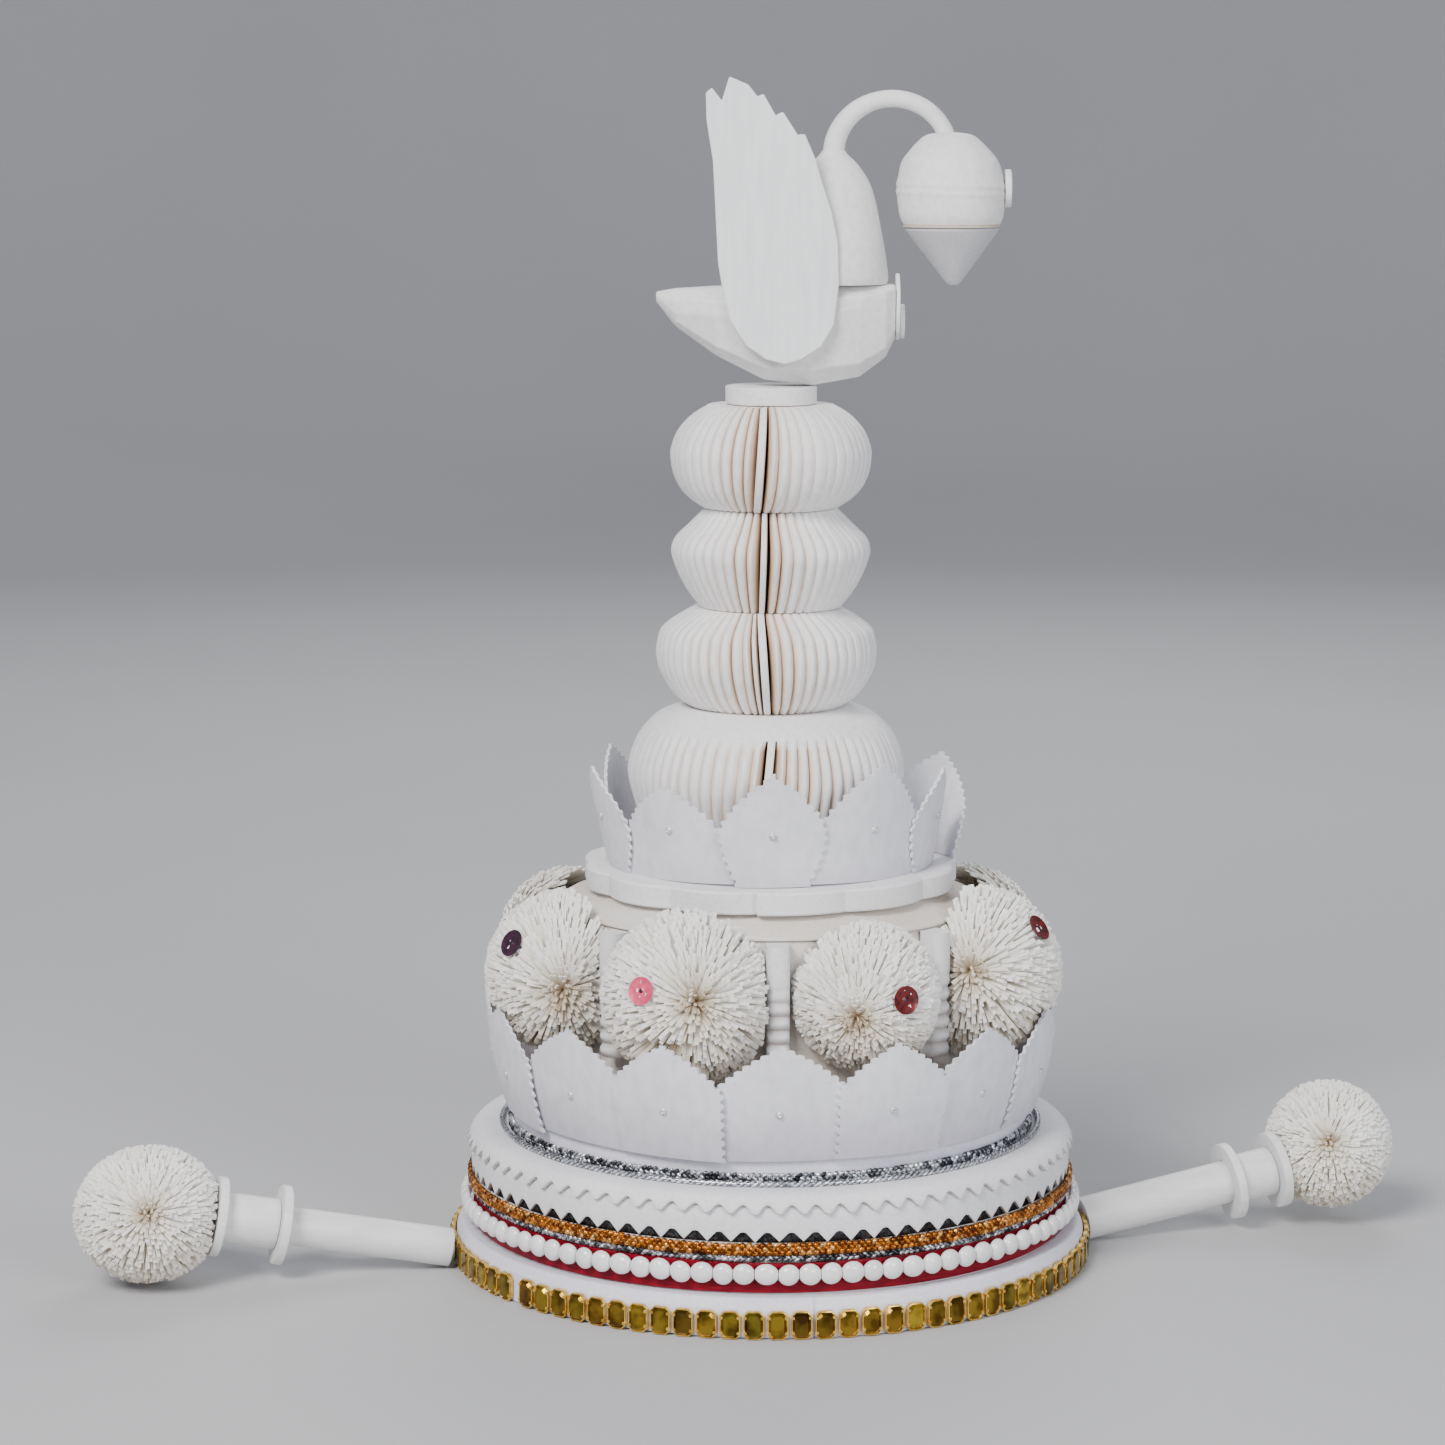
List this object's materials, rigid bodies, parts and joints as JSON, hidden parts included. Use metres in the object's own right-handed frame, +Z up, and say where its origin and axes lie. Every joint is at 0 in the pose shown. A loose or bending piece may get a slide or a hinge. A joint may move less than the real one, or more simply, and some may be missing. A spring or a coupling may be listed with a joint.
{
  "type": "wedding headdress",
  "caption": "Tall white pith wedding headdress with a beaded rim, leaf collars, pompoms, a pleated tower, a bird on top and a pompom arm on each side.",
  "frame": {"origin": "centre of the head opening on the plane of the rim's foot", "axes": "+Z up through the tower, X along the two side arms, the side meant to be seen at -Y and a little towards -X"},
  "size_m": [0.4187, 0.2008, 0.3636],
  "materials": {
    "pith": "matte",
    "cool_pith": "matte",
    "pompom_pith": "matte",
    "ribbon": "satin",
    "beads": "gloss",
    "thread": "matte",
    "silver_glitter": "glitter",
    "copper_glitter": "glitter",
    "gold_stones": "mirror",
    "sequins": "metallic"
  },
  "bodies": {
    "root": {"base_band": "pith", "bead_string": "beads", "bead_thread": "thread", "bird_beak": "pith", "bird_body": "pith", "bird_head": "pith", "bird_head_disc": "pith", "bird_neck": "pith", "bird_wing_far": "pith", "bird_wing_near": "pith", "chest_disc": "pith", "chest_plate": "pith", "copper_braid": "copper_glitter", "drum_foot": "pith", "drum_lid": "pith", "drum_shoulder": "pith", "drum_wall": "pith", "foot_band": "cool_pith", "gold_trim": "gold_stones", "kadam_1": "pompom_pith", "kadam_2": "pompom_pith", "kadam_3": "pompom_pith", "kadam_4": "pompom_pith", "kadam_5": "pompom_pith", "kadam_6": "pompom_pith", "kadam_7": "pompom_pith", "kadam_8": "pompom_pith", "kadam_sequins": "sequins", "ladder_strips": "pith", "left_inner_ring": "pith", "left_outer_ring": "pith", "left_pompom": "pompom_pith", "left_rod": "pith", "left_sleeve": "pith", "lower_leaf_collar": "cool_pith", "pleated_tier_1": "pith", "pleated_tier_2": "pith", "pleated_tier_3": "pith", "pleated_tier_4": "pith", "red_ribbon": "ribbon", "right_inner_ring": "pith", "right_outer_ring": "pith", "right_pompom": "pompom_pith", "right_rod": "pith", "right_sleeve": "pith", "rim_band": "pith", "rim_shoulder": "pith", "scalloped_disc": "pith", "silver_braid": "silver_glitter", "silver_cord": "silver_glitter", "thin_silver_braid": "silver_glitter", "top_collar": "pith", "upper_leaf_collar": "cool_pith"}
  },
  "joints": []
}
